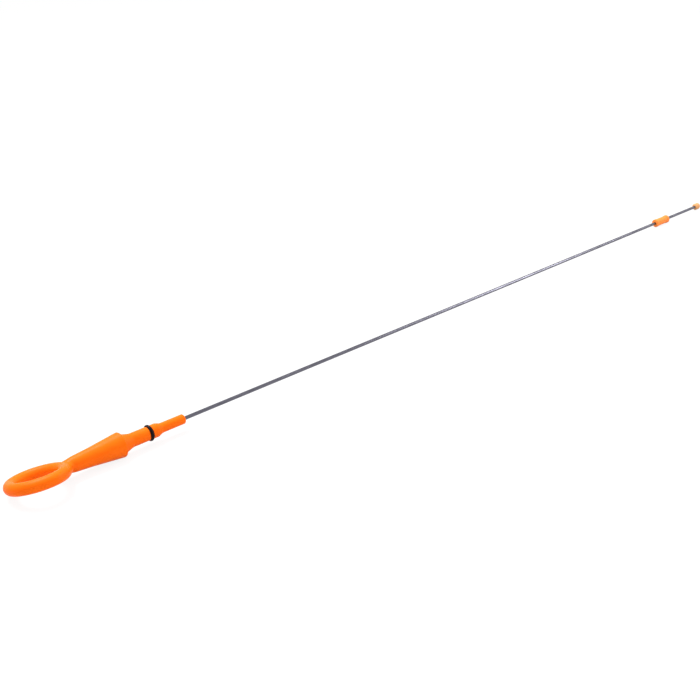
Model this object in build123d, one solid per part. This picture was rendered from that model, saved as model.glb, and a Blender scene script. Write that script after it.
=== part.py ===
from build123d import *
import math
import os

# Engine oil dipstick, lying on a flat surface as it comes to rest: on the rim of its shoulder, on its level
# sleeve or its tip, and on one side of its finger ring. It is drawn along its own axis first, with X running
# from the shoulder's flat seat to the tip and the finger ring in the XY plane, and then it is laid down.
# All sizes are in millimetres.

# Finger ring, a round bar bent into a circle
ring_middle_diameter = 29.5
ring_bar_diameter = 7.1

# Grip, which swells as it leaves the finger ring, stays slim for a stretch and then flares to the shoulder
grip_length = 33.0
grip_step = 0.15
grip_blend = 3.0
swell_length = 3.0
swell_diameter = 9.0
swell_rounding = 20.0
slim_length = 10.0
flare_diameter = 10.5
flare_rounding = 80.0
shoulder_diameter = 14.9
shoulder_edge = 0.9

# Flat seat on the shoulder, and the cone and plug that fill the flared mouth of the dipstick tube
seat_width = 0.7
cone_length = 6.0
cone_root = 6.0
plug_diameter = 8.1
plug_length = 16.7

# Seal ring and the groove that it lies in
seal_cord = 2.2
groove_depth = 1.4
groove_side_room = 0.15

# Collar, as wide as the plug, and nose ahead of the seal
collar_length = 3.7
collar_edge = 1.5
collar_taper = 3.0
nose_root = 5.0
nose_wall = 1.8
nose_length = 15.6
nose_edge = 0.5

# Steel wire, pressed flat where plastic is moulded round it, so that the plastic can't slip
wire_diameter = 2.25
wire_into_grip = 11.0
flat_press = 0.75
flat_inset = 1.0
handle_flat_length = 10.0

# Sleeve that marks the level, measured from the shoulder, with a rim at each end for the low and the high mark
level_from_shoulder = 508.6
sleeve_length = 16.2
sleeve_wall = 1.75
sleeve_rim_length = 2.0
sleeve_rim_height = 0.25
sleeve_edge = 0.3

# Bead on the wire's end
wire_past_sleeve = 46.0
tip_length = 6.0
tip_wall = 1.45
tip_cover = 1.4
tip_back_edge = 0.8
tip_front_edge = 2.0

# Radii
ring_radius = ring_middle_diameter / 2
bar_radius = ring_bar_diameter / 2
grip_root_radius = bar_radius - grip_step
swell_radius = swell_diameter / 2
flare_radius = flare_diameter / 2
shoulder_radius = shoulder_diameter / 2
cone_radius = shoulder_radius - shoulder_edge - seat_width
plug_radius = plug_diameter / 2
groove_radius = plug_radius - groove_depth
wire_radius = wire_diameter / 2
nose_radius = wire_radius + nose_wall
sleeve_radius = wire_radius + sleeve_wall
sleeve_rim_radius = sleeve_radius + sleeve_rim_height
tip_radius = wire_radius + tip_wall

# Places along the axis
ring_centre = -(grip_length + bar_radius + ring_radius)
grip_root = ring_centre + ring_radius
swell = -grip_length + swell_length
flare = swell + slim_length
groove_end = plug_length + seal_cord + 2 * groove_side_room
collar_end = groove_end + collar_length
nose_start = collar_end + collar_taper
nose_end = nose_start + nose_length
wire_start = -wire_into_grip
sleeve_end = level_from_shoulder + sleeve_length
wire_end = sleeve_end + wire_past_sleeve
tip_end = wire_end + tip_cover
tip_start = tip_end - tip_length


def turned(corners):
    """Turn a half section about the axis. Each corner is a point and the radius that rounds it off."""
    points = [point for point, radius in corners]
    radii = [radius for point, radius in corners]
    start = (points[0][0], 0)
    end = (points[-1][0], 0)
    drawn = FilletPolyline(start, *points, end, radius=radii)
    return revolve(make_face([drawn, Line(end, start)]), Axis.X)


def press_flat(rod, start, end):
    """Press the wire flat between two places: it spreads sideways and keeps the area of its section."""
    thickness = wire_diameter - flat_press
    width = math.pi * wire_radius**2 / thickness
    at_middle = Pos((start + end) / 2, 0, 0)
    round_stretch = at_middle * Box(end - start, 2 * wire_diameter, 2 * wire_diameter)
    return rod - round_stretch + at_middle * Box(end - start, width, thickness)


def make_rod():
    lying = Pos((wire_start + wire_end) / 2, 0, 0) * Rot(0, 90, 0)
    rod = lying * Cylinder(wire_radius, wire_end - wire_start)
    handle_flat = wire_start + flat_inset
    rod = press_flat(rod, handle_flat, handle_flat + handle_flat_length)
    rod = press_flat(rod, level_from_shoulder + flat_inset, sleeve_end - flat_inset)
    return press_flat(rod, tip_start + flat_inset, wire_end - flat_inset)


def make_handle(rod):
    """One moulding round the wire: finger ring, grip, shoulder, plug, seal groove, collar and nose."""
    corners = [
        ((grip_root, grip_root_radius), 0),
        ((swell, swell_radius), swell_rounding),
        ((flare, flare_radius), flare_rounding),
        ((0, shoulder_radius), shoulder_edge),
        ((0, cone_radius), 0),
        ((cone_length, plug_radius), cone_root),
        ((plug_length, plug_radius), 0),
        ((plug_length, groove_radius), 0),
        ((groove_end, groove_radius), 0),
        ((groove_end, plug_radius), 0),
        ((collar_end, plug_radius), collar_edge),
        ((nose_start, nose_radius), nose_root),
        ((nose_end - nose_edge, nose_radius), 0),
        ((nose_end, nose_radius - nose_edge), 0),
    ]
    stem = turned(corners)
    seam_at_far_side = Rot(0, 0, 180)
    finger_ring = Pos(ring_centre, 0, 0) * seam_at_far_side * Torus(ring_radius, bar_radius)
    handle = stem + finger_ring
    handle = fillet(new_edges(stem, finger_ring, combined=handle), grip_blend)
    return handle - rod


def make_seal_ring():
    lying = Pos((plug_length + groove_end) / 2, 0, 0) * Rot(0, 90, 0)
    return lying * Torus(groove_radius + seal_cord / 2, seal_cord / 2)


def make_level_sleeve(rod):
    """A spool moulded round the wire. One rim is drawn from its end to the waist, and the other mirrors it."""
    rim = [
        (0, sleeve_rim_radius - sleeve_edge),
        (sleeve_edge, sleeve_rim_radius),
        (sleeve_rim_length, sleeve_rim_radius),
        (sleeve_rim_length + sleeve_rim_height, sleeve_radius),
    ]
    first_rim = [((level_from_shoulder + run, radius), 0) for run, radius in rim]
    second_rim = [((sleeve_end - run, radius), 0) for run, radius in reversed(rim)]
    return turned(first_rim + second_rim) - rod


def make_tip(rod):
    corners = [
        ((tip_start, tip_radius - tip_back_edge), 0),
        ((tip_start + tip_back_edge, tip_radius), 0),
        ((tip_end, tip_radius), tip_front_edge),
    ]
    return turned(corners) - rod


def laid_down():
    """Give the place in which the dipstick rests: shoulder, far end and finger ring touch the surface."""
    grip_slope = (shoulder_radius - flare_radius) / -flare
    rim_place = -shoulder_edge
    rim_radius = shoulder_radius - shoulder_edge * (grip_slope + math.hypot(1, grip_slope))

    def drop_angle(place, radius, edge):
        """Angle at which the axis drops when an edge, rounded or sharp, touches the surface with the rim."""
        run = place - rim_place
        rise = rim_radius - radius
        return math.atan2(rise, run) + math.asin((shoulder_edge - edge) / math.hypot(run, rise))

    drop_on_sleeve = drop_angle(sleeve_end - sleeve_edge, sleeve_rim_radius, 0)
    drop_on_tip = drop_angle(tip_end - tip_front_edge, tip_radius - tip_front_edge, tip_front_edge)
    drop = min(drop_on_sleeve, drop_on_tip)
    shoulder_height = rim_radius * math.cos(drop) + shoulder_edge + rim_place * math.sin(drop)
    ring_height = shoulder_height - ring_centre * math.sin(drop)
    ring_dip = (ring_height - bar_radius) / ring_radius
    roll = math.asin(math.sqrt(ring_dip**2 - math.sin(drop) ** 2) / math.cos(drop))
    middle = (tip_end + ring_centre - ring_radius - bar_radius) / 2 * math.cos(drop)
    return Pos(-middle, 0, shoulder_height) * Rot(0, math.degrees(drop), 0) * Rot(-math.degrees(roll), 0, 0)


def make_pieces():
    rod = make_rod()
    return {
        "handle": make_handle(rod),
        "seal_ring": make_seal_ring(),
        "rod": rod,
        "level_sleeve": make_level_sleeve(rod),
        "tip": make_tip(rod),
    }


def main():
    os.makedirs("parts", exist_ok=True)
    resting = laid_down()
    for name, piece in make_pieces().items():
        export_step(resting * piece, f"parts/{name}.step")


if __name__ == "__main__":
    main()
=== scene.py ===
import math

import bmesh
import bpy
import numpy as np
from mathutils import Matrix, Vector


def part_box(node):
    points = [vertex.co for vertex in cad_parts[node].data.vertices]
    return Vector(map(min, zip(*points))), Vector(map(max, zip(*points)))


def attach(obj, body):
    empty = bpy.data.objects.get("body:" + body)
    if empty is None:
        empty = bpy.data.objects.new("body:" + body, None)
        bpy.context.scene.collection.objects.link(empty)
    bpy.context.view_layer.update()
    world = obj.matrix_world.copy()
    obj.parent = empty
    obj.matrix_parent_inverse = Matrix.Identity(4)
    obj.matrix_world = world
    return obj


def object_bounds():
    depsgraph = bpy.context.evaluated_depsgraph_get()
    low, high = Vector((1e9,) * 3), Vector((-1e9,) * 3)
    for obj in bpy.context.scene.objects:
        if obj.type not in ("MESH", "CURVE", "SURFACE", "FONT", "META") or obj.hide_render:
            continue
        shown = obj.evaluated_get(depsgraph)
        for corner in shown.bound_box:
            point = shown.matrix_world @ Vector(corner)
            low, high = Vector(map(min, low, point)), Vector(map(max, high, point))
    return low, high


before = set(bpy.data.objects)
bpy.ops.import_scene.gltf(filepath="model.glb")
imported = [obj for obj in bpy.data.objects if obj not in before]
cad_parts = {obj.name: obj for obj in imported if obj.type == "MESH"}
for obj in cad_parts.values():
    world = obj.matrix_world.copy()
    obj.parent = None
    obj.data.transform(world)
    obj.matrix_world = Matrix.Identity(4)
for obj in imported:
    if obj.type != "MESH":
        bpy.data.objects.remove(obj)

cad_low, cad_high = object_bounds()

# Engine oil dipstick: an orange plastic handle with a rubber seal, on a drawn steel wire that carries
# an orange level sleeve and a tan tip. All sizes are in metres.

# Camera, which looks at a point on the floor beside the wire
camera_aim = Vector((-0.0718, 0.0101, 0.0))
camera_distance = 0.7523
camera_azimuth = -40.67
camera_elevation = 23.55
camera_roll = -4.06
camera_lens = 59.14
sensor_width = 36.0
nearest_seen = 0.01

# Sky and floor, each with what it gives as light and what is seen of it
sky_at_horizon = 0.35
sky_overhead = 1.30
seen_sky = 1.0
floor_size = 12.0
floor_white = 0.60
seen_floor_white = 0.12
floor_glow = 0.0
seen_floor_glow = 0.88
floor_roughness = 0.9

# Softboxes: the key lights the whole dipstick, and the other makes the bright stretch far out on the wire
key_place = (-0.20, 0.55, 1.10)
key_aim = (-0.22, 0.0, 0.0)
key_across = 0.4
key_along = 0.6
key_watts = 18.5
wire_light_place = (0.84, -0.44, 0.52)
wire_light_aim = (0.11, 0.0, 0.0)
wire_light_across = 1.2
wire_light_along = 0.12
wire_light_watts = 4.6

# Mould seam: a fine ridge round the finger ring and along both sides of the grip. Its length is measured
# from the far side of the ring, and its foot is sunk into the plastic.
seam_length = 0.0685
seam_half_width = 0.00014
seam_height = 0.00006
seam_foot = 0.00006
ring_length = 0.0366

# Plastic, with clouds of colour, patches of sheen, flow lines along it and a fine grain
handle_orange = (0.98, 0.152, 0.001, 1)
handle_orange_deep = (0.95, 0.134, 0.0006, 1)
handle_roughness = 0.42
mark_orange = (0.98, 0.272, 0.056, 1)
mark_orange_deep = (0.95, 0.240, 0.045, 1)
mark_roughness = 0.45
tip_tan = (0.79, 0.400, 0.178, 1)
tip_tan_deep = (0.66, 0.310, 0.124, 1)
tip_roughness = 0.55
plastic_gloss = 0.08
cloud_width = 0.012
sheen_width = 0.003
sheen_change = 0.06
flow_width = 0.0024
flow_depth = 0.00004
flow_shrink_along = 0.3
plastic_grain = 0.00025
plastic_grain_depth = 0.000018

# Steel, with fine lines along the wire and a film of oil that changes its sheen
steel_light = (0.185, 0.180, 0.218, 1)
steel_dark = (0.090, 0.088, 0.110, 1)
steel_roughness = 0.24
steel_gloss = 0.5
line_width = 0.00012
line_depth = 0.000008
line_shrink_along = 0.02
film_width = 0.006
film_shrink_along = 0.25
film_smoother = 0.08
film_rougher = 0.10

# Rubber, with a faint bloom and a fine grain
rubber_black = (0.006, 0.002, 0.002, 1)
rubber_grey = (0.011, 0.005, 0.005, 1)
rubber_roughness = 0.36
rubber_gloss = 0.08
bloom_width = 0.0015
rubber_grain = 0.00012
rubber_grain_depth = 0.000008

# Most of a noise lies between these two values
noise_low = 0.3
noise_high = 0.7


def new_material(name, roughness, gloss):
    """A material with a principled shader, and what is needed to add nodes to it."""
    material = bpy.data.materials.new(name)
    material.use_nodes = True
    tree = material.node_tree
    shader = tree.nodes["Principled BSDF"]
    shader.inputs["Roughness"].default_value = roughness
    shader.inputs["Specular IOR Level"].default_value = gloss
    return material, tree, shader


def texture_space(tree, shrink_along=1):
    """The piece's own coordinates in metres. Shrinking them along the wire draws a texture out that way."""
    coordinates = tree.nodes.new("ShaderNodeTexCoord")
    mapping = tree.nodes.new("ShaderNodeMapping")
    mapping.inputs["Scale"].default_value = (shrink_along, 1, 1)
    tree.links.new(coordinates.outputs["Object"], mapping.inputs["Vector"])
    return mapping.outputs["Vector"]


def noise(tree, space, width, detail=3.0):
    """Smooth noise with lumps of about one width."""
    node = tree.nodes.new("ShaderNodeTexNoise")
    node.inputs["Scale"].default_value = 1 / width
    node.inputs["Detail"].default_value = detail
    tree.links.new(space, node.inputs["Vector"])
    return node.outputs["Fac"]


def spread(tree, value, low, high, start=noise_low, end=noise_high):
    """Takes a value that runs from start to end, and makes it run from low to high."""
    node = tree.nodes.new("ShaderNodeMapRange")
    node.inputs["From Min"].default_value = start
    node.inputs["From Max"].default_value = end
    node.inputs["To Min"].default_value = low
    node.inputs["To Max"].default_value = high
    tree.links.new(value, node.inputs["Value"])
    return node.outputs["Result"]


def blend_colours(tree, share, first, second):
    """A colour between the first and the second, by a share from 0 to 1."""
    node = tree.nodes.new("ShaderNodeMix")
    node.data_type = "RGBA"
    colours = [socket for socket in node.inputs if socket.type == "RGBA"]
    for socket, colour in zip(colours, (first, second)):
        socket.default_value = colour
    tree.links.new(share, node.inputs["Factor"])
    return next(socket for socket in node.outputs if socket.type == "RGBA")


def bump(tree, height, depth, after=None):
    """A bump whose height, from 0 to 1, stands for a real depth in metres. It can lie on another bump."""
    node = tree.nodes.new("ShaderNodeBump")
    node.inputs["Distance"].default_value = depth
    tree.links.new(height, node.inputs["Height"])
    if after is not None:
        tree.links.new(after, node.inputs["Normal"])
    return node.outputs["Normal"]


def moulded_plastic(name, colour, deep_colour, roughness):
    """Satin plastic from an etched mould."""
    material, tree, shader = new_material(name, roughness, plastic_gloss)
    space = texture_space(tree)
    clouds = spread(tree, noise(tree, space, cloud_width), 0, 1)
    tree.links.new(blend_colours(tree, clouds, colour, deep_colour), shader.inputs["Base Color"])
    sheen = noise(tree, space, sheen_width)
    tree.links.new(spread(tree, sheen, roughness - sheen_change, roughness + sheen_change),
                   shader.inputs["Roughness"])
    flow = noise(tree, texture_space(tree, flow_shrink_along), flow_width, detail=1.0)
    flow_lines = bump(tree, flow, flow_depth)
    grain = noise(tree, space, plastic_grain, detail=2.0)
    tree.links.new(bump(tree, grain, plastic_grain_depth, after=flow_lines), shader.inputs["Normal"])
    return material


def drawn_steel():
    """Spring steel wire as it leaves the die."""
    material, tree, shader = new_material("drawn_steel", steel_roughness, steel_gloss)
    shader.inputs["Metallic"].default_value = 1.0
    lines = noise(tree, texture_space(tree, line_shrink_along), line_width, detail=2.0)
    shade = blend_colours(tree, spread(tree, lines, 0, 1), steel_light, steel_dark)
    tree.links.new(shade, shader.inputs["Base Color"])
    film = noise(tree, texture_space(tree, film_shrink_along), film_width)
    tree.links.new(spread(tree, film, steel_roughness - film_smoother, steel_roughness + film_rougher),
                   shader.inputs["Roughness"])
    tree.links.new(bump(tree, lines, line_depth), shader.inputs["Normal"])
    return material


def seal_rubber():
    """Black rubber."""
    material, tree, shader = new_material("seal_rubber", rubber_roughness, rubber_gloss)
    space = texture_space(tree)
    bloom = spread(tree, noise(tree, space, bloom_width), 0, 1)
    tree.links.new(blend_colours(tree, bloom, rubber_black, rubber_grey), shader.inputs["Base Color"])
    grain = noise(tree, space, rubber_grain, detail=2.0)
    tree.links.new(bump(tree, grain, rubber_grain_depth), shader.inputs["Normal"])
    return material


def larger(tree, first, second):
    """The larger of two values."""
    node = tree.nodes.new("ShaderNodeMath")
    node.operation = "MAXIMUM"
    tree.links.new(first, node.inputs[0])
    tree.links.new(second, node.inputs[1])
    return node.outputs["Value"]


def when_seen(tree, lighting, seen):
    """One value where a surface lights the object, another where it is seen, also in a reflection."""
    path = tree.nodes.new("ShaderNodeLightPath").outputs
    in_reflection = larger(tree, path["Is Glossy Ray"], path["Is Transmission Ray"])
    node = tree.nodes.new("ShaderNodeMix")
    tree.links.new(larger(tree, path["Is Camera Ray"], in_reflection), node.inputs["Factor"])
    for name, value in (("A", lighting), ("B", seen)):
        if isinstance(value, float):
            node.inputs[name].default_value = value
        else:
            tree.links.new(value, node.inputs[name])
    return node.outputs["Result"]


def make_world():
    """A sky that lights more from overhead than from the horizon, and is plain white where it is seen."""
    world = bpy.data.worlds.new("studio")
    bpy.context.scene.world = world
    world.use_nodes = True
    tree = world.node_tree
    background = tree.nodes["Background"]
    background.inputs["Color"].default_value = (1, 1, 1, 1)
    direction = tree.nodes.new("ShaderNodeTexCoord")
    parts = tree.nodes.new("ShaderNodeSeparateXYZ")
    tree.links.new(direction.outputs["Generated"], parts.inputs["Vector"])
    lighting = spread(tree, parts.outputs["Z"], sky_at_horizon, sky_overhead, start=0, end=1)
    tree.links.new(when_seen(tree, lighting, seen_sky), background.inputs["Strength"])


def make_floor():
    """A white floor, whose shadows are faint where they are seen."""
    bpy.ops.mesh.primitive_plane_add(size=floor_size)
    floor = bpy.context.object
    floor.name = "floor"
    material, tree, shader = new_material("floor_white", floor_roughness, gloss=0.0)
    tree.links.new(when_seen(tree, floor_white, seen_floor_white), shader.inputs["Base Color"])
    shader.inputs["Emission Color"].default_value = (1, 1, 1, 1)
    tree.links.new(when_seen(tree, floor_glow, seen_floor_glow), shader.inputs["Emission Strength"])
    floor.data.materials.append(material)


def add_softbox(name, place, aim, across, along, watts):
    """A lamp with two sides that lie across the dipstick and two that lie along it."""
    lamp = bpy.data.lights.new(name, "AREA")
    lamp.shape = "RECTANGLE"
    lamp.size = across
    lamp.size_y = along
    lamp.energy = watts
    back = (Vector(place) - Vector(aim)).normalized()
    side = Vector((1, 0, 0)).cross(back).normalized()
    facing = Matrix((side, back.cross(side), back)).transposed()
    softbox = bpy.data.objects.new(name, lamp)
    softbox.matrix_world = Matrix.Translation(place) @ facing.to_4x4()
    bpy.context.scene.collection.objects.link(softbox)


def make_lights():
    add_softbox("key", key_place, key_aim, key_across, key_along, key_watts)
    add_softbox("wire_light", wire_light_place, wire_light_aim, wire_light_across, wire_light_along,
                wire_light_watts)


def make_camera():
    data = bpy.data.cameras.new("camera")
    data.lens = camera_lens
    data.sensor_width = sensor_width
    data.clip_start = nearest_seen
    azimuth = math.radians(camera_azimuth)
    elevation = math.radians(camera_elevation)
    back = Vector((math.sin(azimuth) * math.cos(elevation),
                   -math.cos(azimuth) * math.cos(elevation),
                   math.sin(elevation)))
    level = (-back).to_track_quat("-Z", "Y").to_matrix()
    turned = level @ Matrix.Rotation(math.radians(camera_roll), 3, "Z")
    camera = bpy.data.objects.new("camera", data)
    camera.matrix_world = Matrix.Translation(camera_aim + back * camera_distance) @ turned.to_4x4()
    bpy.context.scene.collection.objects.link(camera)
    bpy.context.scene.camera = camera


def ring_plane(handle):
    """A point in the finger ring's middle plane, and the normal, along which the ring is thinnest."""
    ring_end = cad_low.x + ring_length
    ring = np.array([vertex.co for vertex in handle.data.vertices if vertex.co.x < ring_end])
    middle = ring.mean(axis=0)
    directions = np.linalg.eigh(np.cov((ring - middle).T))[1]
    return Vector(middle), Vector(directions[:, 0])


def seam_path(handle, point, normal):
    """The handle's outline in the ring's plane, without the wire's hole and what lies past the grip."""
    path = bmesh.new()
    path.from_mesh(handle.data)
    everything = path.verts[:] + path.edges[:] + path.faces[:]
    bmesh.ops.bisect_plane(path, geom=everything, plane_co=point, plane_no=normal, clear_inner=True,
                           clear_outer=True)
    seam_end = cad_low.x + seam_length
    rod_low, rod_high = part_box("rod")
    # Past the side of the wire's hole, and short of the grip's side
    past_hole = 2 * rod_high[1]
    left_out = [vertex for vertex in path.verts
                if vertex.co.x > seam_end or vertex.co.x > rod_low[0] and abs(vertex.co.y) < past_hole]
    bmesh.ops.delete(path, geom=left_out, context="VERTS")
    bmesh.ops.remove_doubles(path, verts=path.verts, dist=seam_half_width)
    return path


def make_mould_seam(handle, material):
    """A ridge with a three-cornered section, raised on the handle along the seam's path, inside its box."""
    point, normal = ring_plane(handle)
    path = seam_path(handle, point, normal)
    ridge = bmesh.new()
    corners = {}
    for vertex in path.verts:
        outward = handle.closest_point_on_mesh(vertex.co)[2]
        foot = vertex.co - outward * seam_foot
        crest = vertex.co + outward * seam_height
        inside = [min(max(value, low), high) for value, low, high in zip(crest, cad_low, cad_high)]
        section = (foot + normal * seam_half_width, Vector(inside), foot - normal * seam_half_width)
        corners[vertex] = [ridge.verts.new(corner) for corner in section]
    for edge in path.edges:
        start, end = (corners[vertex] for vertex in edge.verts)
        for side in range(3):
            ridge.faces.new((start[side], end[side], end[side - 1], start[side - 1]))
    for vertex in path.verts:
        if len(vertex.link_edges) == 1:
            ridge.faces.new(corners[vertex])
    bmesh.ops.recalc_face_normals(ridge, faces=ridge.faces)
    mesh = bpy.data.meshes.new("mould_seam")
    ridge.to_mesh(mesh)
    ridge.free()
    path.free()
    mesh.materials.append(material)
    seam = bpy.data.objects.new("mould_seam", mesh)
    bpy.context.scene.collection.objects.link(seam)
    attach(seam, "root")


def give(node_name, material):
    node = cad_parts[node_name]
    node.data.materials.clear()
    node.data.materials.append(material)


def main():
    bpy.context.scene.view_settings.view_transform = "Standard"
    make_world()
    make_floor()
    make_lights()
    make_camera()
    handle_plastic = moulded_plastic("handle_plastic", handle_orange, handle_orange_deep, handle_roughness)
    give("handle", handle_plastic)
    make_mould_seam(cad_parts["handle"], handle_plastic)
    give("level_sleeve", moulded_plastic("mark_plastic", mark_orange, mark_orange_deep, mark_roughness))
    give("tip", moulded_plastic("tip_plastic", tip_tan, tip_tan_deep, tip_roughness))
    give("rod", drawn_steel())
    give("seal_ring", seal_rubber())


main()
